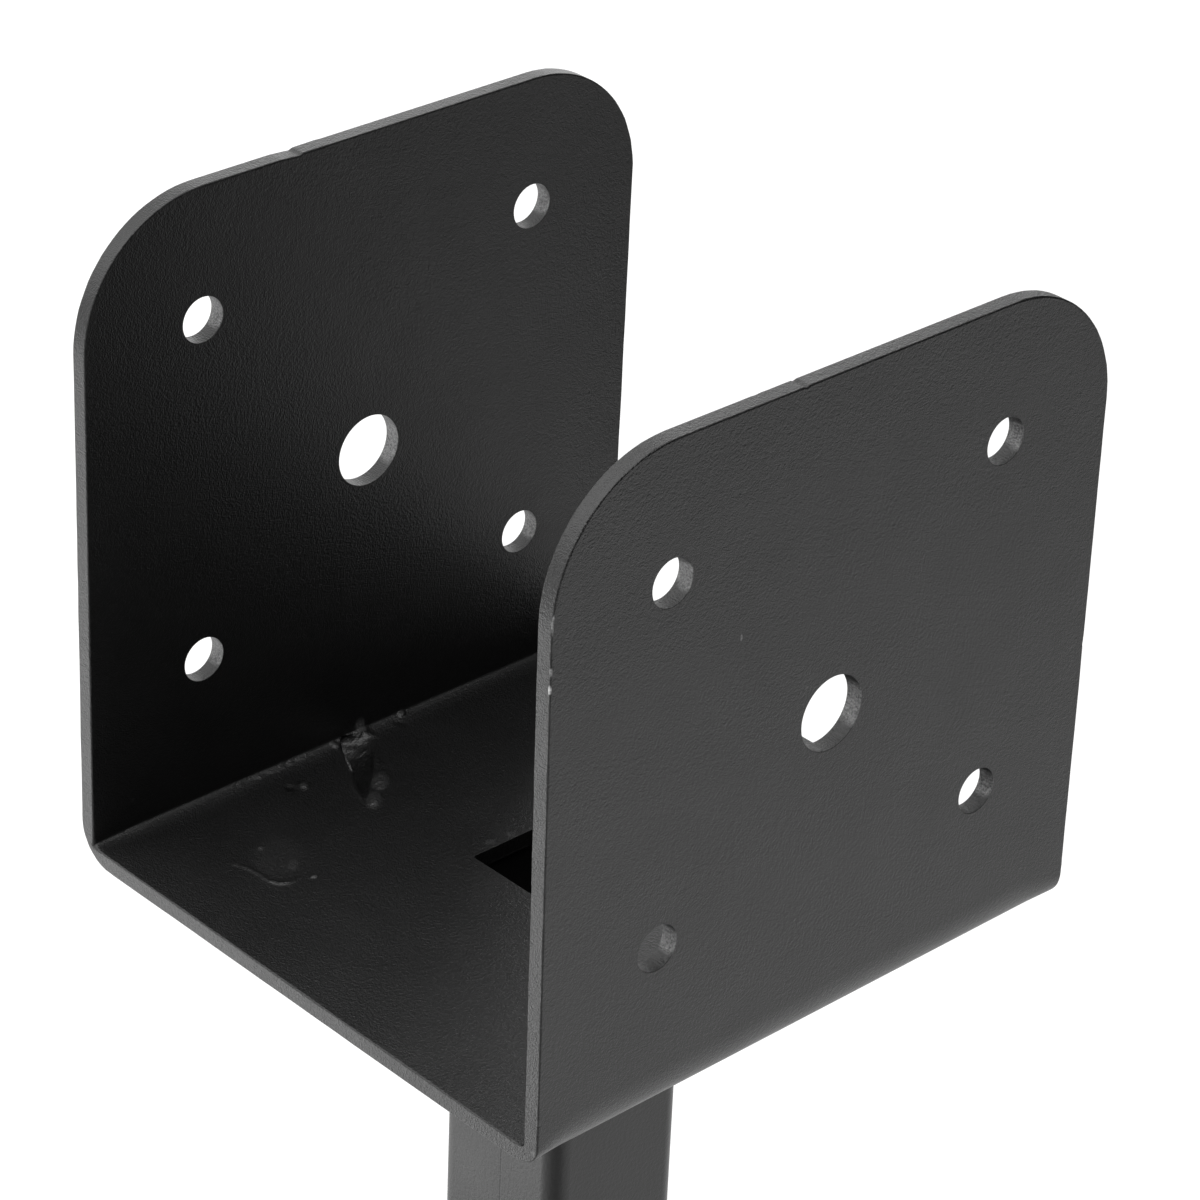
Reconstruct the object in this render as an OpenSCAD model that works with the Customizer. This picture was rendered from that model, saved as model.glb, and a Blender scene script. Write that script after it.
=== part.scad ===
// Roof riser bracket: a folded steel saddle that holds a roof beam, welded on a
// square steel post with a plain bolt-down base plate.
// X runs across the saddle, Y along the beam, Z up. The origin is the middle of
// the base plate's underside, on the surface that the bracket stands on.

/* [Saddle] */
// Clear width between the ears, for a dressed six by timber
seat_w = 139.7; // [90:0.1:240]
// Length of the saddle along the beam
saddle_len = 152.4; // [120:0.1:260]
// Height of the saddle from its underside to the top of the ears
ear_h = 152.4; // [120:0.1:260]
// Thickness of the folded plate
plate_t = 4; // [3:0.1:6]
// Radius of the ears' two top corners
ear_corner_r = 30.5; // [18:0.5:45]
// Inside radius of both folds
fold_inside_r = 1.2; // [0.5:0.1:3]
// Outside radius of the near fold, on the +X side
near_fold_r = 6.5; // [5:0.1:9]
// Outside radius of the far fold, which was folded more softly
far_fold_r = 9.5; // [6:0.1:10]

/* [Ear holes] */
// Diameter of the four fixing holes in each ear
ear_hole_d = 10.7; // [6:0.1:14]
// Distance of the fixing holes' centres from the ear's front and back edges
ear_hole_side = 30.5; // [22:0.1:45]
// Distance of the upper fixing holes' centres from the top edge
ear_hole_top = 30.5; // [22:0.1:45]
// Height of the lower fixing holes' centres above the saddle's underside
ear_hole_low = 40; // [25:0.1:55]
// Diameter of the through-bolt hole in the middle of each ear
through_hole_d = 17; // [10:0.1:22]

/* [Post] */
// Length of the square post between base plate and saddle
post_len = 304.8; // [150:0.1:600]
// Outside size of the square post
post_w = 38.1; // [35:0.1:60]
// Wall of the post
post_wall = 3.2; // [2:0.1:4]
// Outside radius of the post's corners
post_corner_r = 4.7; // [4.2:0.1:7]
// How far the saddle floor reaches in over the post's bore, on each side
opening_lip = 0.85; // [0:0.05:5]

/* [Base plate] */
// Side of the square base plate
base_w = 152.4; // [120:0.1:260]
// Thickness of the base plate
base_t = 6.35; // [5:0.05:12]
// Radius of the base plate's corners
base_corner_r = 12.7; // [5:0.1:25]
// Diameter of the four lag screw holes
base_hole_d = 11.1; // [8:0.1:16]
// Distance of the lag screw holes' centres from the plate's edges
base_hole_inset = 19.05; // [15:0.05:30]

/* [Welds] */
// Leg of the weld bead under the saddle
saddle_bead_leg = 4.5; // [3:0.1:7]
// Leg of the weld bead on the base plate
base_bead_leg = 5; // [3:0.1:7]

/* [Hidden] */
$fn = 96;
// How far a cutter runs past the face that it cuts
over = 1;
// Height of the saddle's underside above the ground
saddle_z = base_t + post_len;
// Outside width of the saddle
saddle_w = seat_w + 2 * plate_t;
// Inside size of the post
post_bore = post_w - 2 * post_wall;
// Side of the square opening cut in the saddle floor over the post
floor_opening = post_bore - 2 * opening_lip;
// Places of the fixing holes along the beam, from the middle
ear_hole_y = saddle_len / 2 - ear_hole_side;
// Places of the lag screw holes, from the middle of the base plate
base_hole_xy = base_w / 2 - base_hole_inset;
// Radius of a bead's hollow face, as a share of its leg
bead_hollow = 1.6;
// Powder coat on the plates and the post, and over the weld beads
coat = [0.23, 0.23, 0.23];
bead_coat = [0.27, 0.27, 0.27];

// A rectangle in the middle of the sheet, with all four corners round.
module round_rect(w, l, r) {
    square([w - 2 * r, l], center = true);
    square([w, l - 2 * r], center = true);
    for (sx = [-1, 1], sy = [-1, 1])
        translate([sx * (w / 2 - r), sy * (l / 2 - r)])
            circle(r);
}

// Half of the folded section: a bar that stands on x = 0 and reaches x = half,
// with its lower outer corner round.
module fold_half(half, height, r) {
    square([half - r, height]);
    translate([0, r])
        square([half, height - r]);
    translate([half - r, r])
        circle(r);
}

// The U section of the saddle, drawn with its underside on y = 0.
module u_section() {
    difference() {
        union() {
            fold_half(saddle_w / 2, ear_h, near_fold_r);
            mirror([1, 0])
                fold_half(saddle_w / 2, ear_h, far_fold_r);
        }
        translate([0, plate_t]) {
            fold_half(seat_w / 2, ear_h, fold_inside_r);
            mirror([1, 0])
                fold_half(seat_w / 2, ear_h, fold_inside_r);
        }
    }
}

// Side view of an ear: square at the fold, round at both top corners.
module ear_outline() {
    straight_h = ear_h - ear_corner_r;
    translate([-saddle_len / 2, 0])
        square([saddle_len, straight_h]);
    translate([-saddle_len / 2 + ear_corner_r, 0])
        square([saddle_len - 2 * ear_corner_r, ear_h]);
    for (side = [-1, 1])
        translate([side * (saddle_len / 2 - ear_corner_r), straight_h])
            circle(ear_corner_r);
}

// A round cutter along X through both ears.
module ear_drill(y, z, d) {
    translate([-saddle_w / 2 - over, y, z])
        rotate([0, 90, 0])
            cylinder(d = d, h = saddle_w + 2 * over);
}

// One plate with two folds, five holes in each ear and a square opening over
// the post's bore.
module saddle() {
    color(coat)
    translate([0, 0, saddle_z])
    difference() {
        intersection() {
            translate([0, saddle_len / 2, 0])
                rotate([90, 0, 0])
                    linear_extrude(saddle_len)
                        u_section();
            translate([-saddle_w / 2, 0, 0])
                rotate([90, 0, 90])
                    linear_extrude(saddle_w)
                        ear_outline();
        }
        for (side = [-1, 1]) {
            ear_drill(side * ear_hole_y, ear_hole_low, ear_hole_d);
            ear_drill(side * ear_hole_y, ear_h - ear_hole_top, ear_hole_d);
        }
        ear_drill(0, ear_h / 2, through_hole_d);
        translate([-floor_opening / 2, -floor_opening / 2, -over])
            cube([floor_opening, floor_opening, plate_t + 2 * over]);
    }
}

// Square tube from the base plate up to the underside of the saddle.
module post() {
    color(coat)
    translate([0, 0, base_t])
        linear_extrude(post_len)
            difference() {
                round_rect(post_w, post_w, post_corner_r);
                round_rect(post_bore, post_bore, post_corner_r - post_wall);
            }
}

// Flat square plate with a lag screw hole near each corner.
module base_plate() {
    color(coat)
    difference() {
        linear_extrude(base_t)
            round_rect(base_w, base_w, base_corner_r);
        for (sx = [-1, 1], sy = [-1, 1])
            translate([sx * base_hole_xy, sy * base_hole_xy, -over])
                cylinder(d = base_hole_d, h = base_t + 2 * over);
    }
}

// Section of a fillet bead with its root at the corner (x0, 0): equal legs and
// a slightly hollow face between the two toes.
module bead_section(x0, leg) {
    hollow_r = leg * bead_hollow;
    // The face's arc passes through both toes, with its centre out on the diagonal.
    mid = leg / 2;
    reach = sqrt(hollow_r * hollow_r - leg * leg / 2) / sqrt(2);
    translate([x0, 0])
    difference() {
        polygon([[0, 0], [leg, 0], [0, leg]]);
        translate([mid + reach, mid + reach])
            circle(hollow_r);
    }
}

// A bead all round the post, standing on z = 0: four straight runs along the
// tube's flats and a quarter turn round each of its corners.
module ring_bead(leg) {
    flat = post_w - 2 * post_corner_r;
    corner = flat / 2;
    for (turn = [0 : 3])
        rotate([0, 0, 90 * turn]) {
            translate([0, corner, 0])
                rotate([90, 0, 0])
                    linear_extrude(flat)
                        bead_section(post_w / 2, leg);
            translate([corner, corner, 0])
                rotate_extrude(angle = 90)
                    bead_section(post_corner_r, leg);
        }
}

// Bead in the corner between the post and the saddle's underside.
module saddle_weld() {
    color(bead_coat)
    translate([0, 0, saddle_z])
        mirror([0, 0, 1])
            ring_bead(saddle_bead_leg);
}

// Bead in the corner between the post and the base plate.
module base_weld() {
    color(bead_coat)
    translate([0, 0, base_t])
        ring_bead(base_bead_leg);
}

saddle();
post();
base_plate();
saddle_weld();
base_weld();
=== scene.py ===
# %% [markdown]
# # A roof riser bracket in black powder coat
# The bracket is a steel saddle for a roof beam, welded on a square post with a foot plate.
# The measured model is loaded first and stays fixed, so that every piece made here has a
# place to go to. All lengths in this file are in metres. Small sizes are easier to read in
# millimetres, so they are written as a number of mm.

# %% Load the measured frame
import math
import bpy
import numpy as np
from mathutils import Matrix, Vector, noise
from mathutils.geometry import delaunay_2d_cdt


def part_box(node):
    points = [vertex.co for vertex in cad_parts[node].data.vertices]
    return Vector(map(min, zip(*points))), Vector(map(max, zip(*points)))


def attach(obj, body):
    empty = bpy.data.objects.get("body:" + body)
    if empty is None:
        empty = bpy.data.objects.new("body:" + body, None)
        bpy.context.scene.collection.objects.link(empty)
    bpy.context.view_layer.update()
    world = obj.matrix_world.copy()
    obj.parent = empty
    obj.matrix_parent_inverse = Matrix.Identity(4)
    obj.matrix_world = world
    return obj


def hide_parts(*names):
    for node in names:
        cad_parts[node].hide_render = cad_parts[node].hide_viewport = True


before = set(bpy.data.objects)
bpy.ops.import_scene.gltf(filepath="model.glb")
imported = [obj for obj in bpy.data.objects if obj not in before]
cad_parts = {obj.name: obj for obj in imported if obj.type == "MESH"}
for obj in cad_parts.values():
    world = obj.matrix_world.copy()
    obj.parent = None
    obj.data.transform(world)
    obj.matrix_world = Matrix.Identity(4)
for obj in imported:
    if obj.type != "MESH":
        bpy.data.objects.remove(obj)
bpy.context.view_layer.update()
mm = 0.001
saddle_low, saddle_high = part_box("saddle")
post_low, post_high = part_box("post")
plate_low, plate_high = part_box("base_plate")
print("nodes", sorted(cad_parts), "underside of the saddle at", round(saddle_low.z, 5))

# %% [markdown]
# # The camera
# The photograph was taken from above and to the right, with a long lens, and it is rolled a
# little. A camera is easiest to understand as a place on a sphere round the object: turn,
# height and distance. Two small steps sideways in the picture's own plane then set the framing,
# so that no lens shift is needed.

# %% Camera
view_turn = math.radians(46.128)
view_height = math.radians(29.735)
view_roll = math.radians(2.498)
view_distance = 901.0 * mm
step_right = 3.05 * mm
step_up = -17.83 * mm
pivot = Vector((0, 0, saddle_low.z + 90 * mm))
sensor = 36.0
focal = 130.563


def place_camera():
    flat = math.cos(view_height)
    back = Vector((math.sin(view_turn) * flat, -math.cos(view_turn) * flat, math.sin(view_height)))
    level_right = Vector((math.cos(view_turn), math.sin(view_turn), 0))
    level_up = back.cross(level_right)
    right = math.cos(view_roll) * level_right + math.sin(view_roll) * level_up
    up = back.cross(right)
    data = bpy.data.cameras.new("camera")
    data.sensor_width = sensor
    data.lens = focal
    camera = bpy.data.objects.new("camera", data)
    bpy.context.scene.collection.objects.link(camera)
    place = pivot + step_right * right + step_up * up + view_distance * back
    axes = Matrix((right, up, back)).transposed().to_4x4()
    camera.matrix_world = Matrix.Translation(place) @ axes
    bpy.context.scene.camera = camera
    return camera


camera = place_camera()
print("camera at", [round(c, 4) for c in camera.matrix_world.translation])

# %% [markdown]
# # The studio
# Black powder coat has hardly any colour of its own: what the eye sees on it is the room,
# mirrored softly in the coat. So the room is built like the photographer's. It is white, the
# floor is a white table, and softboxes hang over it and at its left. The right side is dark,
# because no light stands there: a black curtain makes that. A black card behind the bracket
# darkens the inside of the far ear, and a grey card on the table in front dims what the near
# ear mirrors. The camera doesn't see the curtain, the cards and the softboxes.

# %% Render settings and the world
scene = bpy.context.scene
scene.view_settings.view_transform = "Standard"
room_white = 1.0


def make_world():
    world = bpy.data.worlds.new("white room")
    world.use_nodes = True
    background = world.node_tree.nodes["Background"]
    background.inputs["Color"].default_value = (1, 1, 1, 1)
    background.inputs["Strength"].default_value = room_white
    scene.world = world


make_world()
print("room strength", room_white)

# %% Floor
floor_half = 6.0
floor_albedo = 0.4
floor_glow = 0.66


def ray_is_seen(tree):
    """One where a ray comes from the camera, a reflection or glass, and zero for soft light."""
    path = tree.nodes.new("ShaderNodeLightPath")
    seen = path.outputs["Is Camera Ray"]
    for kind in ("Is Glossy Ray", "Is Transmission Ray"):
        either = tree.nodes.new("ShaderNodeMath")
        either.operation = "MAXIMUM"
        tree.links.new(seen, either.inputs[0])
        tree.links.new(path.outputs[kind], either.inputs[1])
        seen = either.outputs[0]
    return seen


def paper(name, shade, glow):
    """Matt paper. Glow is the light that it gives to rays that see it."""
    material = bpy.data.materials.new(name)
    material.use_nodes = True
    tree = material.node_tree
    sheet = tree.nodes["Principled BSDF"]
    sheet.inputs["Base Color"].default_value = (shade, shade, shade, 1)
    sheet.inputs["Roughness"].default_value = 1.0
    sheet.inputs["Specular IOR Level"].default_value = 0.0
    if glow:
        sheet.inputs["Emission Color"].default_value = (1, 1, 1, 1)
        strength = tree.nodes.new("ShaderNodeMapRange")
        strength.inputs["To Max"].default_value = glow
        tree.links.new(ray_is_seen(tree), strength.inputs["Value"])
        tree.links.new(strength.outputs["Result"], sheet.inputs["Emission Strength"])
    return material


def hang_sheet(name, corners, faces, material):
    mesh = bpy.data.meshes.new(name)
    mesh.from_pydata(corners, [], faces)
    mesh.materials.append(material)
    sheet = bpy.data.objects.new(name, mesh)
    scene.collection.objects.link(sheet)
    return sheet


floor_corners = [(sx * floor_half, sy * floor_half, 0)
                 for sx, sy in ((-1, -1), (1, -1), (1, 1), (-1, 1))]
hang_sheet("floor", floor_corners, [(0, 1, 2, 3)],
           paper("white paper", floor_albedo, floor_glow))
print("floor", 2 * floor_half, "m wide")

# %% Curtain and cards
curtain_away = 1.5
curtain_turns = [math.radians(a) for a in range(-70, 123, 6)]
curtain_low, curtain_high = 0.15, 3.0
card_back = 0.30
card_left, card_right = -0.03, 0.09
card_low, card_high = 0.16, 0.37
grey_near, grey_far = 0.07, 0.70
grey_lift = 0.004

black_cloth = paper("black cloth", 0.01, 0)
grey_card = paper("grey card", 0.50, 0)


def hang_curtain():
    """A black curtain round the right side of the table, above the table's own height."""
    corners = [(curtain_away * math.cos(a), curtain_away * math.sin(a), z)
               for z in (curtain_low, curtain_high) for a in curtain_turns]
    n = len(curtain_turns)
    faces = [(i, i + 1, n + i + 1, n + i) for i in range(n - 1)]
    return hang_sheet("curtain", corners, faces, black_cloth)


back_corners = [(card_left, card_back, card_low), (card_right, card_back, card_low),
                (card_right, card_back, card_high), (card_left, card_back, card_high)]
low_corners = [(grey_near, -grey_far, grey_lift), (grey_far, -grey_far, grey_lift),
               (grey_far, -grey_near, grey_lift), (grey_near, -grey_near, grey_lift)]
flags = [hang_curtain(), hang_sheet("card behind", back_corners, [(0, 1, 2, 3)], black_cloth),
         hang_sheet("card in front", low_corners, [(0, 1, 2, 3)], grey_card)]
for flag in flags:
    flag.visible_camera = False
for card in flags[1:]:
    # the two small cards are there for the reflections only
    card.visible_diffuse = False
    card.visible_shadow = False
print("cards", [flag.name for flag in flags])

# %% Softboxes
# A softbox is set by where it hangs, where it points, its size and its brightness.
softboxes = {
    "overhead": ((0, -0.45, 1.45), (0, -0.45, 0.4), (1.5, 1.5), 2.3),
    "roof_panel": ((-1.05, 1.05, 0.74), (0, 0, 0.4), (1.5, 0.8), 1.5),
    "left_wall": ((-0.80, -0.72, 1.05), (0, 0, 0.4), (1.0, 0.8), 1.8),
    "left_table": ((-0.48, -0.48, 0.02), (-0.48, -0.48, 1.0), (0.6, 0.6), 1.9),
    "right_table": ((0.66, 0.06, 0.02), (0.66, 0.06, 1.0), (0.4, 0.4), 1.0),
    "table_glow": ((0.36, 0.30, 0.02), (0.36, 0.30, 1.0), (0.4, 0.4), 0.1),
}


def hang_softbox(name, place, aim, size, brightness):
    data = bpy.data.lights.new(name, "AREA")
    data.shape = "RECTANGLE"
    data.size, data.size_y = size
    data.energy = brightness * math.pi * size[0] * size[1]
    lamp = bpy.data.objects.new(name, data)
    scene.collection.objects.link(lamp)
    lamp.location = place
    lamp.rotation_euler = (Vector(place) - Vector(aim)).to_track_quat("Z", "Y").to_euler()
    lamp.visible_camera = False
    return lamp


for name, (place, aim, size, brightness) in softboxes.items():
    lamp = hang_softbox(name, place, aim, size, brightness)
    print(name, "gives", round(lamp.data.energy, 2), "W")

# %% [markdown]
# # Powder coat
# Powder coat is melted plastic. It never lies quite flat: it has a soft orange peel about a
# millimetre across and a finer grain on top. It could be one flat black, but then it would
# look like wet paint. Two layers of noise feed a bump, and a slower noise moves the colour and
# the roughness, so that the mirrored room breaks up into a fine sheen. Where the bracket has
# been knocked or rubbed, the coat is paler. The hollows of the scars are painted darker, as
# painted shade, and the wall of each hole that faces the light gets a painted highlight.

# %% Helpers that make nodes
def node(tree, kind, **settings):
    """A shader node. Settings are the node's own properties, or its inputs by name."""
    made = tree.nodes.new("ShaderNode" + kind)
    for key, value in settings.items():
        if hasattr(made, key):
            setattr(made, key, value)
        else:
            made.inputs[key.replace("_", " ")].default_value = value
    return made


def noise_at(tree, place, size, detail=2.0, roughness=0.5):
    """Noise whose lumps are about size across, from 0 to 1, at the point that place gives."""
    lumps = node(tree, "TexNoise", Scale=1.0 / size, Detail=detail, Roughness=roughness)
    tree.links.new(place, lumps.inputs["Vector"])
    return lumps.outputs["Fac"]


def spread(tree, value, low, high):
    """Moves a noise value, most of which lies near the middle, to the range low to high."""
    mapped = node(tree, "MapRange", From_Min=0.3, From_Max=0.7, To_Min=low, To_Max=high)
    tree.links.new(value, mapped.inputs["Value"])
    return mapped.outputs["Result"]


def bump(tree, height, depth, under=None):
    """A bump whose full height is depth, in metres, laid over another bump if one is given."""
    made = node(tree, "Bump", Strength=1.0, Distance=depth)
    tree.links.new(height, made.inputs["Height"])
    if under is not None:
        tree.links.new(under, made.inputs["Normal"])
    return made.outputs["Normal"]


# %% The coat
coat_black = 0.007
coat_ior = 1.47
peel_size = 0.9 * mm
grain_size = 0.35 * mm
mottle_size = 14 * mm
# the mottle moves the colour between these shares of the black, and the roughness by this much
mottle_dark, mottle_pale = 0.85, 1.2
sheen_drift = 0.02

# Places where the coat is chipped or rubbed thin, and painted shade in the scars' hollows: middle,
# half sizes, turn about Z, and how pale it is, or how dark the painted shade is. Heights are above
# the saddle's underside.
wear_and_painted_shade = [
    ((72.9, -26.7, 103.2), (1.4, 0.3, 0.8), 0, 0.26),
    ((72.9, -7.7, 85.0), (1.4, 0.4, 0.4), 0, 0.08),
    # a paler strip along the ragged line in the far fold
    ((-68.8, -22.5, 4.8), (0.8, 15.0, 0.9), 0, 0.022),
    ((-69.9, -65.4, 11.7), (0.8, 0.5, 0.6), 0, 0.03),
    ((-61.4, -11.6, 4.3), (3.6, 0.4, 1.2), -27, 0.13),
    ((-69.4, -1.2, 6.2), (1.2, 1.6, 1.9), 0, 0.07),
    ((-68.3, -9.5, 5.2), (1.0, 0.9, 1.0), 0, 0.04),
    ((-69.2, 10.8, 5.4), (0.7, 0.7, 0.9), 0, 0.025),
    ((-51.0, -11.2, 4.3), (3.9, 2.1, 1.2), -46, 0.034),
    ((-46.2, -17.0, 4.3), (3.3, 1.9, 1.2), -46, 0.034),
    # painted shade: the gouge's hollow, the pit on the floor and the pit in the fold are coloured
    # darker
    ((-60.6, -7.2, 2.2), (5.6, 3.1, 2.2), -32, 0.001),
    ((-53.6, -14.0, 2.6), (5.0, 1.5, 1.8), -36, 0.001),
    ((-61.6, -28.2, 4.0), (1.8, 1.2, 0.6), -46, 0.001),
    ((-66.9, 8.2, 4.2), (1.9, 1.0, 1.0), 25, 0.001),
    ((-60.4, -25.2, 4.3), (1.5, 0.9, 1.0), -46, 0.04),
    ((-37.4, -47.0, 4.2), (2.6, 1.3, 1.0), -46, 0.03),
    ((-42.0, -47.6, 4.2), (8.0, 5.5, 1.0), -46, 0.014),
    ((-46.5, -48.6, 4.2), (0.9, 0.7, 1.0), -46, 0.03),
    ((-44.9, -56.7, 4.2), (0.6, 0.6, 1.0), 0, 0.03),
    ((-30.7, -46.7, 4.2), (0.6, 0.8, 1.0), 0, 0.08),
    ((-16.9, -8.3, 4.2), (1.2, 1.2, 1.0), 0, 0.03),
    ((-16.2, -2.9, 4.2), (1.2, 1.2, 1.0), 0, 0.03),
]
worn_edges = [
    ((72.6, -76.0, 123.9), (0.4, 0.6, 2.3), 0, 0.45),
    ((72.5, -76.1, 113.8), (0.35, 0.5, 0.9), 0, 0.45),
    ((72.4, -76.1, 110.0), (0.35, 0.5, 1.0), 0, 0.85),
    ((73.8, -76.1, 12.2), (0.6, 0.5, 0.9), 0, 0.07),
    ((72.9, -76.2, 4.3), (0.9, 0.5, 0.7), 0, 0.09),
]
speck_size = 0.5 * mm
# the thinnest cover of a spot between its specks
speck_least = 0.1
# a spot's colour is full up to the first share of its size, and gone at the second
spot_full, spot_gone = 0.7, 1.15
# the holes of an ear, in mm: place along the beam, height, diameter
ear_holes = [(-45.7, 40, 10.7), (45.7, 40, 10.7), (-45.7, 121.9, 10.7), (45.7, 121.9, 10.7),
             (0, 76.2, 17.0)]
ear_middle = 71.5
# the painted highlight on the wall of each hole, on the side that faces the light: its place and
# half sizes as shares of the hole's radius, and how pale it is in the near ear and in the far one
lit_wall_along, lit_wall_up = 0.95, -0.13
lit_wall_deep, lit_wall_high = 0.42, 0.62
lit_wall_through = 4.0
lit_wall_pale = {1: 0.24, -1: 0.22}
# a paler line along the lower edge of the square opening, on its side towards the far ear
opening_pale_line = ((-15.0, -4.0, 0.25), (0.5, 7.0, 0.3), 0, 0.03)


def hole_highlights_and_line():
    """Each hole gets a painted highlight at the same place on its wall, on the side that faces the
    light, and the opening gets its paler line.
    """
    found = [opening_pale_line]
    for side, pale in lit_wall_pale.items():
        for y, z, d in ear_holes:
            r = d / 2
            at = (side * ear_middle, y + lit_wall_along * r, z + lit_wall_up * r)
            found.append((at, (lit_wall_through, lit_wall_deep * r, lit_wall_high * r), 0, pale))
    return found


def lay_wear_and_painted_light(tree, shade, place, spots):
    """Lays spots over the coat's colour: worn coat, painted shade and painted highlights. They are
    speckled, as a thin coat is.
    """
    speck = spread(tree, noise_at(tree, place, speck_size, 2.0, 0.7), speck_least, 1.0)
    for (x, y, z), sizes, turn, pale in spots:
        at = (x * mm, y * mm, z * mm + saddle_low.z)
        spot = node(tree, "Mapping", vector_type="TEXTURE", Location=at,
                    Rotation=(0, 0, math.radians(turn)), Scale=tuple(v * mm for v in sizes))
        tree.links.new(place, spot.inputs["Vector"])
        far = node(tree, "VectorMath", operation="LENGTH")
        tree.links.new(spot.outputs["Vector"], far.inputs[0])
        near = node(tree, "MapRange", From_Min=spot_gone, From_Max=spot_full)
        tree.links.new(far.outputs["Value"], near.inputs["Value"])
        tree.links.new(speck, near.inputs["To Max"])
        over = node(tree, "Mix", data_type="RGBA")
        tree.links.new(near.outputs["Result"], over.inputs["Factor"])
        tree.links.new(shade, over.inputs["A"])
        over.inputs["B"].default_value = (pale, pale, pale, 1)
        shade = over.outputs["Result"]
    return shade


def coat(name, roughness, peel, grain, worn=()):
    """Powder coat. Peel and grain are the heights of its two layers of bumps."""
    material = bpy.data.materials.new(name)
    material.use_nodes = True
    tree = material.node_tree
    skin = tree.nodes["Principled BSDF"]
    skin.inputs["IOR"].default_value = coat_ior
    place = node(tree, "TexCoord").outputs["Object"]
    mottle = noise_at(tree, place, mottle_size, 3.0)
    shade = node(tree, "Mix", data_type="RGBA")
    dark = coat_black * mottle_dark
    pale = coat_black * mottle_pale
    shade.inputs["A"].default_value = (dark, dark, dark, 1)
    shade.inputs["B"].default_value = (pale, pale, pale, 1)
    tree.links.new(mottle, shade.inputs["Factor"])
    colour = shade.outputs["Result"]
    # the spots hold wear, painted shade in the scars' hollows and painted highlights in the holes
    if worn:
        colour = lay_wear_and_painted_light(tree, colour, place, worn)
    tree.links.new(colour, skin.inputs["Base Color"])
    sheen = spread(tree, mottle, roughness - sheen_drift, roughness + sheen_drift)
    tree.links.new(sheen, skin.inputs["Roughness"])
    peel_bump = bump(tree, noise_at(tree, place, peel_size, 1.0), peel)
    grain_bump = bump(tree, noise_at(tree, place, grain_size, 1.0), grain, peel_bump)
    tree.links.new(grain_bump, skin.inputs["Normal"])
    return material


# the plate's spots hold wear, and painted shade in the scars' hollows
plate_coat = coat("plate coat", 0.37, 0.100 * mm, 0.130 * mm, wear_and_painted_shade)
post_coat = coat("post coat", 0.38, 0.060 * mm, 0.045 * mm)
bead_coat = coat("bead coat", 0.40, 0.040 * mm, 0.020 * mm)
print("coats", [m.name for m in (plate_coat, post_coat, bead_coat)])

# %% [markdown]
# # Cut edges
# A laser leaves fine upright lines on the wall of every cut, and the coat over them stays
# ribbed. The lines run through the plate, so they need a coordinate that follows the cut. Each
# wall gets one, called cut: its first number runs along the cut and its second goes down
# through the plate. The noise is stretched along the second one.

# %% Coat over a cut
rib_size = 0.45 * mm
rib_reach = 5.0
cut_grain = 0.150 * mm


def cut_coat(name, roughness, ribs, base_peel, worn):
    """The coat on a cut wall: ribs is the height of the lines that the laser left."""
    material = coat(name, roughness, base_peel, cut_grain, worn)
    tree = material.node_tree
    skin = tree.nodes["Principled BSDF"]
    along = node(tree, "UVMap", uv_map="cut").outputs["UV"]
    squeeze = node(tree, "Mapping", Scale=(1, 1 / rib_reach, 1))
    tree.links.new(along, squeeze.inputs["Vector"])
    lines = noise_at(tree, squeeze.outputs["Vector"], rib_size, 2.0, 0.6)
    under = skin.inputs["Normal"].links[0].from_socket
    tree.links.new(bump(tree, lines, ribs, under), skin.inputs["Normal"])
    return material


edge_coat = cut_coat("edge coat", 0.38, 0.090 * mm, 0.080 * mm, worn_edges)
# the hole walls carry painted highlights on the sides that face the light
hole_coat = cut_coat("hole coat", 0.40, 0.220 * mm, 0.060 * mm, hole_highlights_and_line())
print("cut coats", edge_coat.name, hole_coat.name)

# %% [markdown]
# # A plate with cut edges
# A laser-cut plate is two faces and a wall round every outline. The easy way is to drill a
# block, but then the edges are razor sharp and the faces can't be bent. Here the plate is drawn
# flat, as its blank: each outline is a loop of points with the direction that faces out of the
# steel. The edge is rolled round from one face to the other in small steps, and the faces are
# filled between the loops. A place function then puts each point of the blank where the bent
# plate has it.

# %% Outlines
circle_steps = 96
corner_steps = 24


def round_rect(half_x, half_y, r, steps, stops_x=(), stops_y=()):
    """Points and outward directions round a rectangle, counter-clockwise from the lower side.
    The stops are extra points on its straight sides."""
    points, ways = [], []
    inner_x, inner_y = half_x - r, half_y - r
    along_x = [-inner_x] + [s for s in sorted(stops_x) if abs(s) < inner_x] + [inner_x]
    along_y = [-inner_y] + [s for s in sorted(stops_y) if abs(s) < inner_y] + [inner_y]
    sides = [
        ([(x, -half_y) for x in along_x], (0, -1), (inner_x, -inner_y), -90),
        ([(half_x, y) for y in along_y], (1, 0), (inner_x, inner_y), 0),
        ([(x, half_y) for x in reversed(along_x)], (0, 1), (-inner_x, inner_y), 90),
        ([(-half_x, y) for y in reversed(along_y)], (-1, 0), (-inner_x, -inner_y), 180),
    ]
    for side, way, centre, start in sides:
        points += side
        ways += [way] * len(side)
        for k in range(1, steps):
            a = math.radians(start + 90 * k / steps)
            turn = (math.cos(a), math.sin(a))
            points.append((centre[0] + r * turn[0], centre[1] + r * turn[1]))
            ways.append(turn)
    return np.array(points), np.array(ways, float)


def hole(x, y, d):
    """A round hole: clockwise, with directions that face its middle."""
    a = -2 * math.pi * np.arange(circle_steps) / circle_steps
    turn = np.stack([np.cos(a), np.sin(a)], 1)
    return np.array([x, y]) + turn * d / 2, -turn


def window(half, r, steps):
    """A square opening in the middle."""
    points, ways = round_rect(half, half, r, steps)
    return points[::-1].copy(), -ways[::-1]


# %% Plate builder
edge_steps = 5
# points closer together than this count as one
same_point = 1e-7
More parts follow.
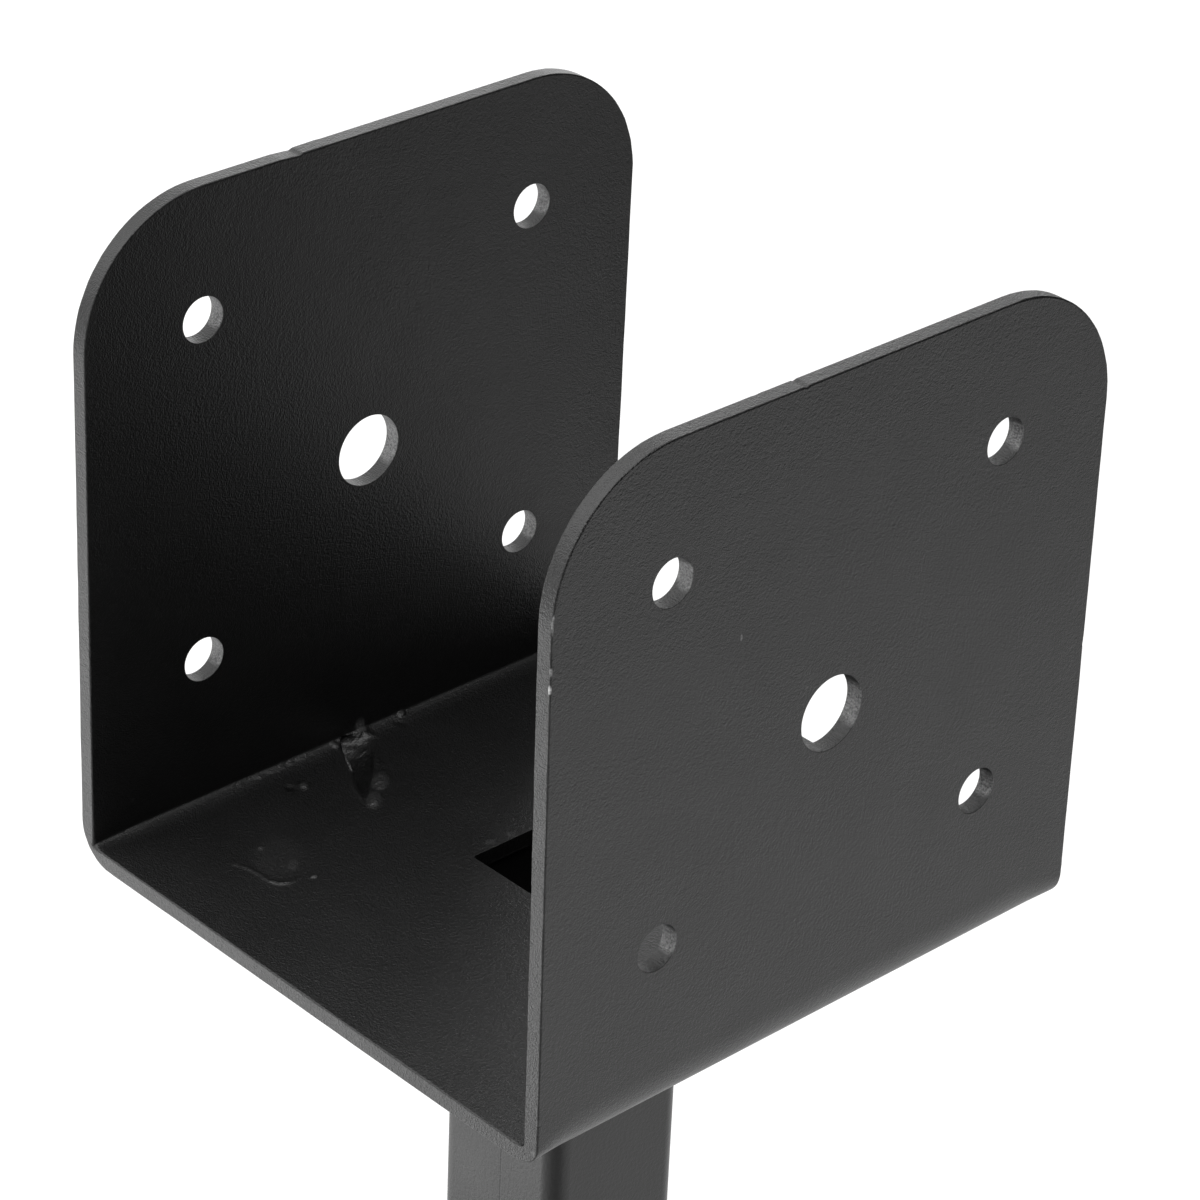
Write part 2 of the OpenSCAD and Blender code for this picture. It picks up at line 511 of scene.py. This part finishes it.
# how much more a large face says about a point's normal than a small one beside it
flat_weight = 80


def inside(points, loop):
    """Which points lie inside a closed loop, by counting the sides that a ray crosses."""
    x, y = points[:, 0], points[:, 1]
    within = np.zeros(len(points), bool)
    for (ax, ay), (bx, by) in zip(loop, np.roll(loop, -1, axis=0)):
        if ay == by:
            continue
        crosses = (ay > y) != (by > y)
        within ^= crosses & (x < ax + (y - ay) * (bx - ax) / (by - ay))
    return within


def fill(outline, openings, creases, extra):
    """Triangles between an outline and its openings. Creases are pairs of outline points that
    an edge has to join, and extra are points that the face needs in between."""
    loops = [outline] + openings
    points = np.concatenate(loops + ([extra] if len(extra) else []))
    edges, start = [], 0
    for loop in loops:
        n = len(loop)
        edges += [(start + i, start + (i + 1) % n) for i in range(n)]
        start += n
    edges += creases
    result = delaunay_2d_cdt([Vector(p) for p in points], edges, [], 0, same_point, True)
    spots = np.array([tuple(v) for v in result[0]])
    triangles = np.array(result[2])
    middles = spots[triangles].mean(1)
    keep = inside(middles, outline)
    for opening in openings:
        keep &= ~inside(middles, opening)
    source = [ids[0] if ids else -1 for ids in result[3]]
    return spots, triangles[keep], source


def loop_lengths(points):
    """Distance along a closed loop at each of its points, and once round it."""
    steps = np.diff(points, axis=0, append=points[:1])
    return np.concatenate([[0], np.cumsum(np.hypot(*steps.T))])


def rolled_edge(points, ways, thick, rounding):
    """Rows of points over a cut edge, from the upper face to the lower one: where each row lies
    on the blank, and its share of the way down."""
    rows = []
    for side in (0, 1):
        r = rounding(*points.T, side)
        turns = np.linspace(0, math.pi / 2, edge_steps)
        for a in (turns if side == 0 else turns[::-1]):
            inset = points - ways * (r * (1 - math.sin(a)))[:, None]
            share = r * (1 - math.cos(a)) / thick
            rows.append((inset, share if side == 0 else 1 - share))
    return rows


def plate_object(name, coords, faces, kinds, marks, materials):
    """The object. Kinds are the faces' materials, and marks are their corners on the cut."""
    mesh = bpy.data.meshes.new(name)
    mesh.from_pydata(coords, [], faces)
    mesh.shade_smooth()
    cut = mesh.uv_layers.new(name="cut")
    cut.data.foreach_set("uv", np.array([c for face in marks for c in face], np.float32).ravel())
    for material in materials:
        mesh.materials.append(material)
    mesh.polygons.foreach_set("material_index", kinds)
    mesh.update()
    piece = bpy.data.objects.new(name, mesh)
    scene.collection.objects.link(piece)
    piece.modifiers.new("even faces", "WEIGHTED_NORMAL").weight = flat_weight
    return piece


def build_plate(name, outline, openings, place, depth_at, rounding, materials, creases=(),
                extra=(), under=(), rise=None):
    """A plate from its flat blank. place(x, y, share) gives the bent point, where share runs
    from 0 on the upper face to 1 on the lower one. rounding(x, y, side) is the radius of the
    edge, and rise(x, y) lifts the upper face out along its own direction."""
    loops = [outline] + list(openings)
    coords, faces, kinds, marks = [], [], [], []
    upper, lower = [], []
    total = 0
    for order, (points, ways) in enumerate(loops):
        thick = depth_at(*points.T)
        rows = rolled_edge(points, ways, thick, rounding)
        length = loop_lengths(points)
        n = len(points)
        for k, (inset, share) in enumerate(rows):
            coords.append(place(inset[:, 0], inset[:, 1], share))
            if k == 0:
                continue
            above, below = total + (k - 1) * n, total + k * n
            deep = (rows[k - 1][1].mean() * thick.mean(), share.mean() * thick.mean())
            for i in range(n):
                j = (i + 1) % n
                faces.append((above + i, below + i, below + j, above + j))
                kinds.append(1 if order == 0 or len(materials) < 3 else 2)
                marks.append(((length[i], deep[0]), (length[i], deep[1]),
                              (length[i + 1], deep[1]), (length[i + 1], deep[0])))
        upper.append((total, rows[0][0]))
        lower.append((total + (len(rows) - 1) * n, rows[-1][0]))
        total += n * len(rows)
    for share, edge, more in ((0, upper, extra), (1, lower, under)):
        more = np.array(more).reshape(-1, 2)
        spots, triangles, source = fill(edge[0][1], [e[1] for e in edge[1:]], list(creases), more)
        known = np.concatenate([start + np.arange(len(loop)) for start, loop in edge])
        ids = np.empty(len(spots), int)
        fresh = []
        for i, s in enumerate(source):
            if 0 <= s < len(known):
                ids[i] = known[s]
            else:
                ids[i] = total + len(fresh)
                fresh.append(i)
        if fresh:
            new = spots[fresh]
            coords.append(place(new[:, 0], new[:, 1], np.full(len(new), float(share)),
                                rise if share == 0 else None))
            total += len(fresh)
        turned = triangles if share == 0 else triangles[:, ::-1]
        for t in turned:
            faces.append(tuple(int(ids[v]) for v in t))
            kinds.append(0)
            marks.append(((0, 0), (0, 0), (0, 0)))
    return plate_object(name, np.concatenate(coords).tolist(), faces, kinds, marks, materials)


# %% [markdown]
# # The saddle's section
# A press brake folds the blank over a die. Inside the fold the steel is squeezed to a small
# radius, and outside it stretches round a large one. The two folds of this saddle aren't the
# same: the far one was folded more softly. The section is measured by the distance along its
# inside from the middle of the floor, negative towards the far ear, because that is the length
# that the blank has.

# %% Section of the saddle
# The frame holds boxes only, so the sizes inside them are written here as the model has them.
plate_t = 4 * mm
seat_half = 69.85 * mm
saddle_half = seat_half + plate_t
beam_half = (saddle_high.y - saddle_low.y) / 2
ear_h = saddle_high.z - saddle_low.z
fold_inside_r = 1.2 * mm
near_lean = math.tan(math.radians(0.67))
far_lean = math.tan(math.radians(0.43))
fold_start = seat_half - fold_inside_r
fold_length = fold_inside_r * math.pi / 2
fold_middle = fold_start + fold_length / 2
squeeze = fold_inside_r * (1 - math.pi / 4)
blank_half = fold_start + fold_length + ear_h - plate_t - fold_inside_r
# Each fold is a quarter of an ellipse: its size along the floor and its size up the ear, in
# the middle of the fold, at its front end (-Y) and at its back end.
near_outside = ((5.5, 10.0), (7.5, 5.5), (6.5, 6.5))
far_outside = ((9.5, 9.5), (9.5, 9.5), (9.5, 9.5))
near_inside = ((4.0, 2.5), (1.2, 1.2), (1.2, 1.2))
far_inside = ((5.2, 1.4), (2.6, 0.9), (2.6, 0.9))
end_zone = 14.0 * mm
# the ears lean from this height up, and the folds' lines of points reach this far from the middle
lean_from = 10 * mm
fold_reach = 7.0 * mm
least_reach = 0.2 * mm


def ellipse_at(side, y, near, far):
    """The two sizes of a fold at each place along the beam: they change close to its ends."""
    share = np.clip((beam_half - np.abs(y)) / end_zone, 0, 1)
    share = share * share * (3 - 2 * share)
    sizes = []
    for k in (0, 1):
        middle, front, back = (np.where(side > 0, near[i][k], far[i][k]) * mm for i in range(3))
        sizes.append(middle * share + np.where(y < 0, front, back) * (1 - share))
    return sizes


def bend(past, sizes, gap):
    """One side of a fold, from the distance past its middle: how far it still is from the
    ear's face, how far it has come up from the floor's face, and how far it has turned."""
    wide, high = sizes
    before = np.maximum(wide - gap, least_reach)
    after = np.maximum(high - gap, least_reach)
    turn = np.clip((past + before) / (before + after), 0, 1) * math.pi / 2
    away = np.where(past < -before, gap - past, wide * (1 - np.sin(turn)))
    up = np.where(past > after, gap + past, high * (1 - np.cos(turn)))
    return away, up, turn


def section(s, y):
    """Points and directions on the inside and the outside of the folded section."""
    side = np.sign(s)
    past = np.abs(s) - fold_middle
    lean = np.where(side > 0, near_lean, far_lean)
    away, up, _ = bend(past, ellipse_at(side, y, near_outside, far_outside), plate_t + squeeze)
    outer = np.stack([side * (saddle_half - away - lean * np.maximum(0, up - lean_from)), up], 1)
    away, up, turn = bend(past, ellipse_at(side, y, near_inside, far_inside), squeeze)
    up = up + plate_t
    inner = np.stack([side * (seat_half - away - lean * np.maximum(0, up - lean_from)), up], 1)
    way = np.stack([-side * np.sin(turn), np.cos(turn)], 1)
    return inner, outer, way


def saddle_place(s, y, share, rise=None):
    inner, outer, way = section(s, y)
    spot = inner * (1 - share)[:, None] + outer * share[:, None]
    if rise is not None:
        spot = spot + way * rise(s, y)[:, None]
    return np.stack([spot[:, 0], y, spot[:, 1] + saddle_low.z], 1)


def saddle_depth(s, y):
    inner, outer, _ = section(s, y)
    return np.hypot(*(outer - inner).T)


def on_ear(side, z):
    """Distance along the section of a point on an ear, from its height above the underside."""
    return side * (fold_start + fold_length + z - plate_t - fold_inside_r)


print("blank", round(2 * blank_half / mm, 1), "by", round(2 * beam_half / mm, 1), "mm")

# %% Holes and outline of the saddle
ear_corner_r = 30.5 * mm
coat_in_hole = 0.13 * mm
ear_hole_d = 10.7 * mm - 2 * coat_in_hole
ear_hole_side = 30.5 * mm
ear_hole_top = 30.5 * mm
ear_hole_low = 40 * mm
through_hole_d = 17 * mm - 2 * coat_in_hole
floor_opening = 30 * mm
opening_corner_r = 0.7 * mm
opening_steps = 6
fold_lines = 26
squeeze_lines = 8
line_gap = 0.1 * mm


def fold_stops():
    """Places along the blank where both faces need a line of points to bend smoothly."""
    stops = []
    coarse = fold_middle + np.linspace(-1, 1, fold_lines + 1) * fold_reach
    fine = fold_middle + np.linspace(-1, 1, squeeze_lines + 1) * fold_length / 2
    kept = [c for c in coarse if np.abs(fine - c).min() > line_gap]
    for side in (-1, 1):
        stops += [side * v for v in sorted(kept + list(fine))]
    return sorted(stops)


def saddle_openings():
    found = []
    hole_y = beam_half - ear_hole_side
    for side in (-1, 1):
        for y in (-hole_y, hole_y):
            for z in (ear_hole_low, ear_h - ear_hole_top):
                found.append(hole(on_ear(side, z), y, ear_hole_d))
        found.append(hole(on_ear(side, ear_h / 2), 0, through_hole_d))
    found.append(window(floor_opening / 2, opening_corner_r, opening_steps))
    return found


stops = fold_stops()
print(len(stops), "lines across the folds")

# %% [markdown]
# # Nicks where the cut began
# Where the laser comes back to its starting point it leaves a small nick: a shallow ramp and
# a sharp step. This saddle has three, on the far ear's top, the near ear's top and the near
# ear's back edge. They are real notches in the outline, so they show in its silhouette.

# %% Nicks in the outline
nicks = [
    # side of the blank, place of the step, length of the ramp, depth
    ("far_top", -20.2 * mm, -5.0 * mm, 0.38 * mm),
    ("near_top", -12.6 * mm, -0.7 * mm, 0.28 * mm),
    ("back", on_ear(1, 64.2 * mm), 3.0 * mm, 0.16 * mm),
]
nick_recovery = 1.0 * mm
nick_points = 12
side_points = np.arange(-180, 181, 6) * mm
on_side_within = 0.01 * mm


def nick_depth(along, step, ramp, depth):
    """How far the outline falls in at each place along its side."""
    t = (along - step) / ramp
    recovery = -nick_recovery / abs(ramp)
    return depth * np.where(t >= 0, np.clip(1 - t, 0, 1), np.clip(1 - t / recovery, 0, 1))


def nick_stops(step, ramp):
    reach = np.linspace(-nick_recovery / abs(ramp), 1, nick_points)
    return [step + r * ramp for r in reach]


def saddle_outline():
    sides_s, sides_y = stops + list(side_points), []
    for kind, step, ramp, _ in nicks:
        side = sides_s if kind == "back" else sides_y
        side += nick_stops(step, ramp)
    points, ways = round_rect(blank_half, beam_half, ear_corner_r, corner_steps, sides_s, sides_y)
    for kind, step, ramp, depth in nicks:
        if kind == "back":
            on_side = points[:, 1] > beam_half - on_side_within
            along = points[:, 0]
        else:
            sign = -1 if kind == "far_top" else 1
            on_side = sign * points[:, 0] > blank_half - on_side_within
            along = points[:, 1]
        fall = nick_depth(along[on_side], step, ramp, depth)
        points[on_side] -= ways[on_side] * fall[:, None]
    return points, ways


outline = saddle_outline()
print("outline of", len(outline[0]), "points")

# %% [markdown]
# # Scars in the floor
# The saddle has been knocked. A gouge runs from the far fold across the floor, with a lip
# thrown up on one side and pushed-up steel on the other. There are small pits along the fold
# and a curved ridge nearer the front. Bump would fake them from one side only, so the floor
# gets a fine net of points there, and the points are lifted and sunk by the shapes below. Each
# shape has its place on the blank: s along the section, y along the beam.

# %% Shapes of the scars
def to_path(s, y, path):
    """Distance to a path of points, and the share of the path where the nearest point lies."""
    best = np.full(len(s), np.inf)
    share = np.zeros(len(s))
    pieces = len(path) - 1
    for k in range(pieces):
        ax, ay = path[k]
        bx, by = path[k + 1]
        length = (bx - ax) ** 2 + (by - ay) ** 2
        t = np.clip(((s - ax) * (bx - ax) + (y - ay) * (by - ay)) / length, 0, 1)
        d = np.hypot(s - ax - t * (bx - ax), y - ay - t * (by - ay))
        nearer = d < best
        best = np.where(nearer, d, best)
        share = np.where(nearer, (k + t) / pieces, share)
    return best, share


# a ridge has this share of its height at its ends, and all of it a little further in
end_height = 0.25
end_rise = 5
# a lump's foot: 1 is soft, and more makes it steeper
lump_foot = 1.5


def ridge(s, y, path, width, height):
    """A rounded ridge along a path, lower at both ends. Lengths are in mm."""
    d, share = to_path(s, y, path)
    taper = np.clip(np.minimum(share, 1 - share) * end_rise + end_height, 0, 1)
    return height * taper * np.exp(-((d / width) ** 2))


def lump(s, y, at, long, wide, turn, height):
    """A rounded lump, or a pit where the height is negative."""
    a = math.radians(turn)
    u = ((s - at[0]) * math.cos(a) + (y - at[1]) * math.sin(a)) / long
    v = (-(s - at[0]) * math.sin(a) + (y - at[1]) * math.cos(a)) / wide
    return height * np.exp(-((u * u + v * v) ** lump_foot))


gouge_head = (-65.8, -5.35)
gouge_tip = (-47.6, -17.9)
# distances along the gouge, with its width on both sides and its depth there
gouge_along = (0, 2, 5.4, 10.2, 13.5, 17.0, 20.0, 22.1)
gouge_left = (3.3, 3.5, 2.8, 1.85, 1.7, 1.5, 0.9, 0.1)
gouge_right = (3.4, 3.5, 3.3, 2.7, 2.1, 1.2, 0.6, 0.1)
gouge_deep = (1.8, 2.6, 2.9, 2.7, 2.2, 1.5, 0.8, 0.0)
# the deepest line lies at this share of the left width
gouge_keel = 0.75
# where the wall at the gouge's head starts, and the length over which it falls in
gouge_start = -3.2
gouge_fall = 2.2


def gouge(s, y):
    """A groove between two measured edges, deepest towards its left edge."""
    dx, dy = gouge_tip[0] - gouge_head[0], gouge_tip[1] - gouge_head[1]
    length = math.hypot(dx, dy)
    dx, dy = dx / length, dy / length
    along = (s - gouge_head[0]) * dx + (y - gouge_head[1]) * dy
    across = -(s - gouge_head[0]) * dy + (y - gouge_head[1]) * dx
    left = np.interp(along, gouge_along, gouge_left)
    right = np.interp(along, gouge_along, gouge_right)
    deep = np.interp(along, gouge_along, gouge_deep)
    keel = -gouge_keel * left
    down = np.where(across < keel, (across + left) / (left + keel),
                    (right - across) / (right - keel))
    head = np.clip((along - gouge_start) / gouge_fall, 0, 1)
    return -deep * head * np.sqrt(np.clip(down, 0, 1)) * (along < gouge_along[-1])


net_step = 0.32 * mm
# a line of the net that is closer to a fold line than this share of a step is left out
line_share = 0.45
# places of the rows of points near a free end, as shares of the end zone
end_rows = (0.06, 0.15, 0.3, 0.48, 0.65, 0.82, 1.0)
nets = [
    # lowest s, highest s, lowest y, highest y
    (-73.5, -40.0, -22.0, 14.0),
    (-71.5, -66.0, -40.0, -21.0),
    (-65.0, -57.5, -31.5, -21.0),
    (-50.0, -28.0, -61.0, -42.0),
]
net_margin = 1.0


def in_nets(s, y):
    """One inside a net, falling to zero at its borders, so that no scar ends in a step."""
    deep = [np.minimum(np.minimum(s - s0, s1 - s), np.minimum(y - y0, y1 - y))
            for s0, s1, y0, y1 in nets]
    return np.clip(np.max(deep, axis=0) / net_margin, 0, 1)


def roughness_at(s, y, size, seed):
    """Noise about -1 to 1 with lumps of the given size, another pattern for each seed."""
    return np.array([noise.noise(Vector((a / size, b / size, seed))) for a, b in zip(s, y)])


# place (s, y), half length, half width, turn, height
lumps = [
    # steel pushed up on the right of the gouge
    ((-51.2, -10.9), 3.6, 1.9, -46, 0.5),
    ((-57.6, -6.3), 3.2, 1.2, -32, 0.22),
    ((-46.2, -16.6), 3.0, 1.6, -46, 0.55),
    ((-45.4, -18.2), 1.6, 1.2, -46, 0.2),
    # torn steel on the ear's foot, at the head of the gouge
    ((-69.3, -1.6), 2.2, 1.8, 60, 0.8),
    ((-70.0, -4.6), 1.4, 0.9, 20, 0.3),
    ((-68.3, -9.5), 1.0, 0.8, 0, 0.35),
    ((-66.8, -0.2), 1.4, 0.9, 60, 0.3),
    # pit and bump in the fold beside it
    ((-67.0, 8.3), 1.6, 0.8, 25, -0.12),
    ((-69.1, 10.7), 1.1, 0.9, 0, 0.55),
    # pit and bump on the floor
    ((-61.3, -27.9), 1.6, 1.1, 20, -0.25),
    ((-60.5, -25.4), 1.4, 1.1, 0, 0.45),
    # knocks beside the curved ridge
    ((-37.4, -47.0), 2.4, 1.3, -46, 0.16),
    ((-47.1, -48.4), 0.6, 0.6, 0, 0.18),
]
curve = [(-45.6, -57.0), (-42.5, -55.6), (-39.0, -55.1), (-35.5, -55.2), (-33.2, -54.0),
         (-32.2, -51.9), (-32.6, -49.4)]
# path, half width, height
ridges = [
    # lip thrown up on the left of the gouge, thin towards the tip
    ([(-67.2, -9.0), (-62.6, -11.2), (-58.3, -13.0)], 0.5, 0.42),
    ([(-58.0, -13.9), (-53.0, -17.2), (-46.9, -19.2)], 0.4, 0.2),
    # curved ridge, higher in its middle, and a chip past its end
    (curve, 0.55, 0.24),
    (curve[3:6], 0.5, 0.14),
    ([(-30.9, -47.4), (-30.5, -46.0)], 0.4, 0.2),
]
# ragged line along the fold: its s and half width, its ends along the beam, its height and how
# deep it may dip as a share of that, and its grain's size and seed
seam_s, seam_wide = -68.6, 0.9
seam_front, seam_back = -38, -7
seam_high, seam_dip = 0.22, -0.5
seam_grain = (1.5, 3.7)
# torn skin round the gouge: path, half width, height and grain
torn_path = [(-68.5, -4.5), (-58, -8), (-48, -16)]
torn_wide, torn_high = 3.6, 0.16
torn_grain = (0.9, 8.1)
# rough patch inside the curved ridge: middle, half sizes, height and grain
patch_at, patch_sizes, patch_high = (-40, -50.5), (6.5, 5.0), 0.10
patch_grain = (1.0, 5.2)


def scars(s_metres, y_metres):
    """Height of the floor's scars, for places in metres. The shapes are in mm."""
    s, y = s_metres / mm, y_metres / mm
    h = gouge(s, y)
    for at, long, wide, turn, height in lumps:
        h += lump(s, y, at, long, wide, turn, height)
    for path, width, height in ridges:
        h += ridge(s, y, path, width, height)
    seam = np.exp(-(((s - seam_s) / seam_wide) ** 2)) * (y > seam_front) * (y < seam_back)
    h += seam * seam_high * np.clip(roughness_at(s, y, *seam_grain), seam_dip, 1)
    torn = np.exp(-((to_path(s, y, torn_path)[0] / torn_wide) ** 2))
    h += torn * torn_high * roughness_at(s, y, *torn_grain)
    patch = np.exp(-(((s - patch_at[0]) / patch_sizes[0]) ** 2
                     + ((y - patch_at[1]) / patch_sizes[1]) ** 2))
    h += patch * patch_high * roughness_at(s, y, *patch_grain)
    return h * in_nets(s, y) * mm


def net_points():
    """A net of points over each scarred area, lined up with the fold lines that cross it."""
    found = []
    for s0, s1, y0, y1 in nets:
        lines = [v for v in stops if s0 * mm < v < s1 * mm]
        for v in np.arange(s0 * mm, s1 * mm, net_step):
            if not lines or np.abs(np.array(lines) - v).min() > net_step * line_share:
                lines.append(v)
        rows = np.arange(y0 * mm, y1 * mm, net_step)
        found += [(v, w) for v in sorted(lines) for w in rows]
    return np.array(found)


def end_points():
    """Points on the fold lines near both free ends, where the folds change their radii."""
    rows = [beam_half - share * end_zone for share in end_rows]
    return np.array([(v, sign * row) for v in stops for sign in (-1, 1) for row in rows])


net = net_points()
ends = end_points()
print("net of", len(net), "points and", len(ends), "at the ends of the folds")

# %% Build the saddle
# radius of the cut edges, which wavers along the outline, and in the holes
edge_r = 0.38 * mm
hole_edge_r = 0.12 * mm
uneven_size = 1.8 * mm
uneven_share = 0.5
# radius of the worn fold's ends, and how far round the fold the wear reaches
worn_r = 1.0 * mm
worn_reach = 1.6 * mm


def saddle_rounding(s, y, side):
    """Radius of the cut edge. It is small round the holes and uneven along the outline, and the
    far fold's inside is worn back at both ends."""
    rim = ear_corner_r / 3
    on_rim = (np.abs(y) > beam_half - rim) | (np.abs(s) > blank_half - rim)
    uneven = roughness_at(s, y, uneven_size, 7.0 * side)
    r = np.where(on_rim, edge_r * (1 + uneven_share * uneven), hole_edge_r)
    if side == 0:
        worn = np.exp(-(((s + fold_middle) / worn_reach) ** 2)) * (np.abs(y) > beam_half / 2)
        r = r + (worn_r - edge_r) * worn
    return r


def crease_pairs(points):
    """Index pairs of the outline's points that face each other across the blank."""
    low = {round(p[0] / mm, 3): i for i, p in enumerate(points) if p[1] < 0}
    high = {round(p[0] / mm, 3): i for i, p in enumerate(points) if p[1] > 0}
    return [(low[k], high[k]) for k in (round(v / mm, 3) for v in stops)]


saddle = build_plate("folded_saddle", outline, saddle_openings(), saddle_place, saddle_depth,
                     saddle_rounding, [plate_coat, edge_coat, hole_coat],
                     crease_pairs(outline[0]), np.concatenate([net, ends]), ends, scars)
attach(saddle, "root")
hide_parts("saddle")
print("saddle of", len(saddle.data.polygons), "faces")

# %% [markdown]
# # The foot plate
# The foot is a flat square plate, cut on the same machine, with a hole for a lag screw near
# each corner. It goes through the same plate builder. Only its place function differs, since
# nothing is bent.

# %% Build the foot plate
foot_half = (plate_high.x - plate_low.x) / 2
foot_t = plate_high.z - plate_low.z
foot_corner_r = 12.7 * mm
foot_hole_d = 11.1 * mm
foot_hole_inset = 19.05 * mm


def foot_place(x, y, share, rise=None):
    """The plate lies flat and has no scars, so nothing rises out of it."""
    return np.stack([x, y, plate_high.z - foot_t * share], 1)


def foot_openings():
    at = foot_half - foot_hole_inset
    return [hole(sx * at, sy * at, foot_hole_d) for sx in (-1, 1) for sy in (-1, 1)]


foot = build_plate("foot_plate", round_rect(foot_half, foot_half, foot_corner_r, corner_steps),
                   foot_openings(), foot_place, lambda x, y: np.full(len(x), foot_t),
                   lambda x, y, side: np.full(len(x), edge_r), [plate_coat, edge_coat, hole_coat])
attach(foot, "root")
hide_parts("base_plate")
print("foot plate of", len(foot.data.polygons), "faces")

# %% [markdown]
# # The post
# The post is square tube, rolled from strip and welded along one flat. Its corners are round,
# and the weld shows as a fine line down one side. A stack of the same ring of points, from
# one sawn end to the other, makes the outside, and a second stack makes the bore.

# %% Build the post
post_half = (post_high.x - post_low.x) / 2
post_wall = 3.2 * mm
post_corner_r = 4.7 * mm
post_bore_r = post_corner_r - post_wall
saw_chamfer = 0.3 * mm
seam_x = 1.5 * mm
seam_half = 0.35 * mm
seam_deep = 0.07 * mm
post_corner_steps = 14


def post_ring(inset, is_bore):
    """One ring of the tube. The outside has the seam's groove on the side that faces -Y."""
    seam = [seam_x + seam_half * k / 2 for k in (-2, -1, 0, 1, 2)]
    half = post_half - post_wall if is_bore else post_half
    r = post_bore_r if is_bore else post_corner_r
    flat = post_half - post_corner_r
    scale = (half - r) / flat
    points, _ = round_rect(half, half, r, post_corner_steps, [v * scale for v in seam])
    if not is_bore:
        front = points[:, 1] < -half + on_side_within
        groove = np.clip(1 - np.abs(points[:, 0] - seam_x) / seam_half, 0, 1)
        points[front, 1] += seam_deep * groove[front]
    return points * (1 - inset / half)


def build_post():
    z0, z1 = post_low.z, post_high.z
    levels = [z0, z0 + saw_chamfer, z1 - saw_chamfer, z1]
    outside = [(post_ring(saw_chamfer if z in (z0, z1) else 0, False), z) for z in levels]
    bore = [(post_ring(-saw_chamfer if z in (z0, z1) else 0, True), z) for z in reversed(levels)]
    rings = outside + bore
    n = len(rings[0][0])
    coords = [(x, y, z) for ring, z in rings for x, y in ring]
    faces = []
    for k in range(len(rings)):
        above, below = k * n, ((k + 1) % len(rings)) * n
        for i in range(n):
            j = (i + 1) % n
            faces.append((above + i, above + j, below + j, below + i))
    mesh = bpy.data.meshes.new("square_post")
    mesh.from_pydata(coords, [], faces)
    mesh.shade_smooth()
    mesh.materials.append(post_coat)
    piece = bpy.data.objects.new("square_post", mesh)
    scene.collection.objects.link(piece)
    piece.modifiers.new("even faces", "WEIGHTED_NORMAL").weight = flat_weight
    return piece


post = build_post()
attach(post, "root")
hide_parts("post")
print("post of", len(post.data.polygons), "faces")

# %% [markdown]
# # The weld beads
# A hand-laid bead is a row of overlapping drops. Each drop freezes with its front bowed
# along the joint, so the ripples are curved and never quite even. The bead is a section swept
# round the post. Its size swells and shrinks along the way, and the ripples lag behind in the
# middle of the section.

# %% Build the weld beads
ripple_pitch = 1.9 * mm
ripple_high = 0.16 * mm
bead_step = 0.32 * mm
bead_section_steps = 10
bead_sunk = 0.15 * mm
ripple_lag = 1.1 * mm
# how much the bead's size and the ripples' pitch change, and over what length
swell_share, swell_size = 0.09, 9 * mm
pitch_share, pitch_size = 0.1, 22 * mm
# the section's face bulges by this share of its legs past a plain hollow
face_fill = 0.18


def round_post():
    """Points and outward directions round the post, evenly spaced."""
    flat = post_half - post_corner_r
    side = np.arange(-flat, flat, bead_step)
    turns = round(post_corner_r * math.pi / 2 / bead_step)
    return round_rect(post_half, post_half, post_corner_r, turns, side, side)


def build_bead(name, plate_z, upward, leg, seed):
    points, ways = round_post()
    length = np.concatenate([[0], np.cumsum(np.hypot(*np.diff(points, axis=0).T))])
    n = len(points)
    rings = []
    for k in range(bead_section_steps + 1):
        t = k / bead_section_steps
        a = t * math.pi / 2
        lag = ripple_lag * math.sin(math.pi * t)
        ring = []
        for i in range(n):
            p = length[i]
            swell = 1 + swell_share * noise.noise(Vector((p / swell_size, seed, 0)))
            drift = pitch_share * noise.noise(Vector((p / pitch_size, seed, 5)))
            pitch = ripple_pitch * (1 + drift)
            wave = abs(math.sin(math.pi * (p + lag) / pitch))
            lift = ripple_high * (wave - 0.5) * math.sin(math.pi * t)
            legs = leg * swell
            # a flat face between the toes, filled out a little in the middle
            face = 1 - face_fill * math.sin(2 * a)
            out = max(legs * math.cos(a) * face + lift * math.cos(a), -bead_sunk)
            rise = max(legs * math.sin(a) * face + lift * math.sin(a), -bead_sunk)
            if k == 0:
                rise = -bead_sunk
            if k == bead_section_steps:
                out = -bead_sunk
            spot = points[i] + ways[i] * out
            ring.append((spot[0], spot[1], plate_z + upward * rise))
        rings.append(ring)
    root = [(x - wx * bead_sunk, y - wy * bead_sunk, plate_z - upward * bead_sunk)
            for (x, y), (wx, wy) in zip(points, ways)]
    rings.append(root)
    faces = []
    for k in range(len(rings)):
        a, b = k * n, ((k + 1) % len(rings)) * n
        for i in range(n):
            j = (i + 1) % n
            quad = (a + i, a + j, b + j, b + i)
            faces.append(quad if upward > 0 else quad[::-1])
    mesh = bpy.data.meshes.new(name)
    mesh.from_pydata([c for ring in rings for c in ring], [], faces)
    mesh.shade_smooth()
    mesh.materials.append(bead_coat)
    piece = bpy.data.objects.new(name, mesh)
    scene.collection.objects.link(piece)
    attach(piece, "root")
    return piece


saddle_bead_leg = 4.5 * mm
foot_bead_leg = 5.0 * mm
saddle_bead = build_bead("bead_under_saddle", saddle_low.z, -1, saddle_bead_leg, 2.0)
foot_bead = build_bead("bead_on_foot", plate_high.z, 1, foot_bead_leg, 7.0)
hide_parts("saddle_weld")
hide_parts("base_weld")
print("beads of", len(saddle_bead.data.polygons), "and", len(foot_bead.data.polygons), "faces")

# %% Finish
print("the bracket is built")
